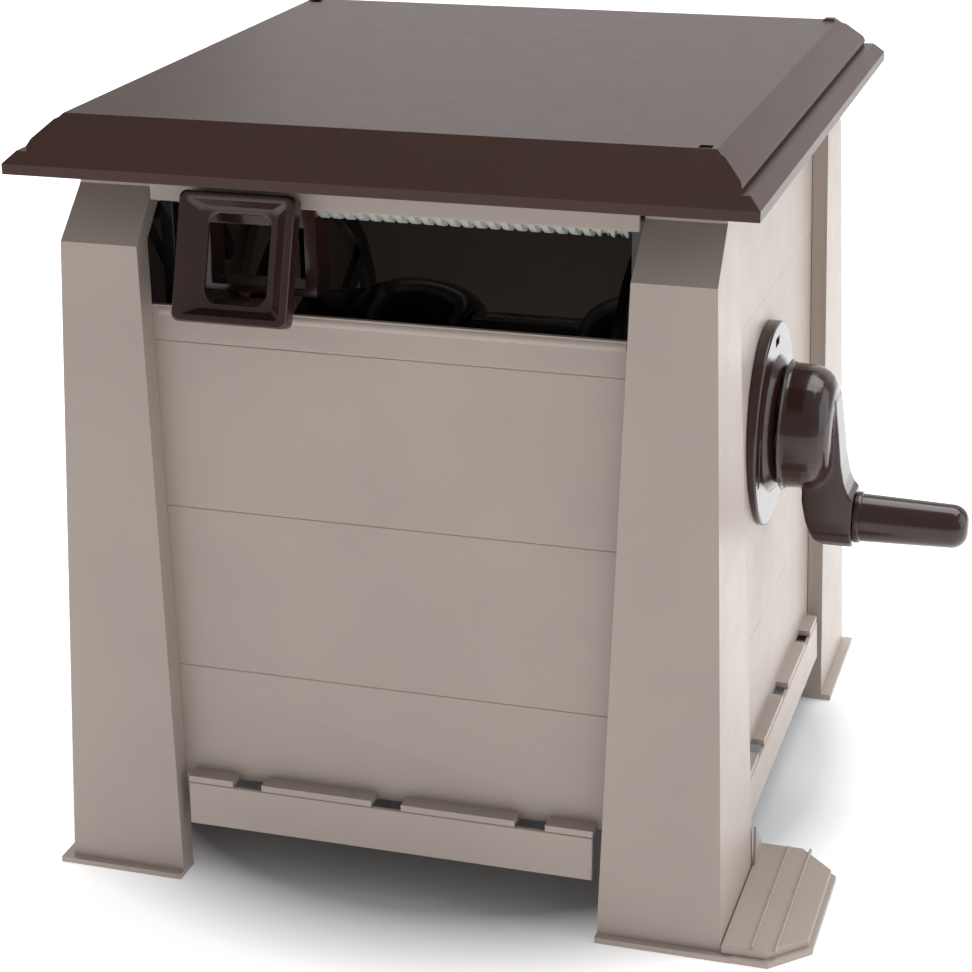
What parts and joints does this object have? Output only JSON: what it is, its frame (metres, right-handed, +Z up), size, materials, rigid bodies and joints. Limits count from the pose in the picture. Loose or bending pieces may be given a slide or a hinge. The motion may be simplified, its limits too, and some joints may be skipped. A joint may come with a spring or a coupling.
{
  "type": "garden hose reel cabinet",
  "caption": "Free-standing garden hose cabinet: square box on tapered corner posts with a hinged lid, a crank-driven reel inside and a hose guide that travels across the front opening.",
  "frame": {"origin": "on the floor, under the centre of the overall box, crank grip and step plate included", "axes": "+Z up; -Y towards the front with the hose opening; +X towards the crank side"},
  "size_m": [0.736, 0.636, 0.655],
  "materials": {
    "tan_plastic": "fine moulded texture, satin",
    "lid_plastic": "fine moulded texture, semi-gloss",
    "brown_plastic": "glossy",
    "black_plastic": "semi-gloss",
    "grey_plastic": "satin",
    "sleeve_film": "printed film with one plain pale green line",
    "steel": "zinc plated",
    "brass": "turned brass",
    "belt_rubber": "matte, toothed inside"
  },
  "bodies": {
    "cabinet": {"post_rear_right": "tan_plastic", "post_rear_left": "tan_plastic", "post_front_right": "tan_plastic", "post_front_left": "tan_plastic", "step_plate": "tan_plastic", "rear_panel": "tan_plastic", "front_panel": "tan_plastic", "side_panel_right": "tan_plastic", "side_panel_left": "tan_plastic", "skirt_rear": "tan_plastic", "skirt_front": "tan_plastic", "skirt_right": "tan_plastic", "skirt_left": "tan_plastic", "top_rail_rear": "tan_plastic", "top_rail_front": "tan_plastic", "hinge_bracket_left": "tan_plastic", "hinge_bracket_right": "tan_plastic", "hinge_pin_left": "steel", "hinge_pin_right": "steel", "bearing_plate": "brown_plastic", "axle_bearing_left": "tan_plastic", "inlet_elbow": "black_plastic", "inlet_coupling": "brass", "drive_belt": "belt_rubber", "tensioner_stud": "steel", "screw_bracket_right": "black_plastic", "screw_bracket_left": "black_plastic"},
    "lid": {"lid_shell": "lid_plastic", "lid_knuckle_left": "lid_plastic", "lid_knuckle_right": "lid_plastic"},
    "reel": {"reel_drum": "black_plastic", "drum_sleeve": "sleeve_film", "reel_flange_left": "black_plastic", "reel_flange_right": "black_plastic", "reel_axle": "steel", "hose_outlet": "brass", "crank_arm": "brown_plastic", "grip_pin": "steel", "reel_pulley": "black_plastic"},
    "grip": {"crank_grip": "brown_plastic"},
    "screw": {"traverse_screw": "grey_plastic", "screw_pulley": "black_plastic"},
    "guide": {"hose_guide": "brown_plastic", "guide_carriage": "brown_plastic", "guide_pawl": "brass"},
    "tensioner": {"tensioner_arm": "black_plastic"},
    "idler": {"idler_wheel": "grey_plastic"}
  },
  "joints": [
    {"name": "lid_hinge", "type": "hinge", "parent": "cabinet", "child": "lid", "pos_m": [-0.068, 0.276, 0.606], "axis": [-1, 0, 0], "range_deg": [0, 95]},
    {"name": "reel_spin", "type": "hinge", "parent": "cabinet", "child": "reel", "pos_m": [-0.068, -0.028, 0.358], "axis": [1, 0, 0], "continuous": true},
    {"name": "grip_spin", "type": "hinge", "parent": "reel", "child": "grip", "pos_m": [0.319, -0.028, 0.279], "axis": [1, 0, 0], "continuous": true},
    {"name": "screw_spin", "type": "hinge", "parent": "cabinet", "child": "screw", "pos_m": [-0.068, -0.226, 0.5777], "axis": [1, 0, 0], "continuous": true},
    {"name": "guide_travel", "type": "slide", "parent": "cabinet", "child": "guide", "axis": [1, 0, 0], "range_m": [-0.02, 0.255]},
    {"name": "tensioner_pivot", "type": "hinge", "parent": "cabinet", "child": "tensioner", "pos_m": [-0.2735, -0.1369, 0.5662], "axis": [1, 0, 0], "range_deg": [0, 12], "stiffness_Nm_per_rad": 0.6, "springref_deg": -5.73},
    {"name": "idler_spin", "type": "hinge", "parent": "tensioner", "child": "idler", "pos_m": [-0.284, -0.0942, 0.4973], "axis": [1, 0, 0], "continuous": true}
  ],
  "couplings": [
    {"joint": "screw_spin", "follows": "reel_spin", "ratio": 2.5},
    {"joint": "idler_spin", "follows": "reel_spin", "ratio": -3.3333}
  ]
}
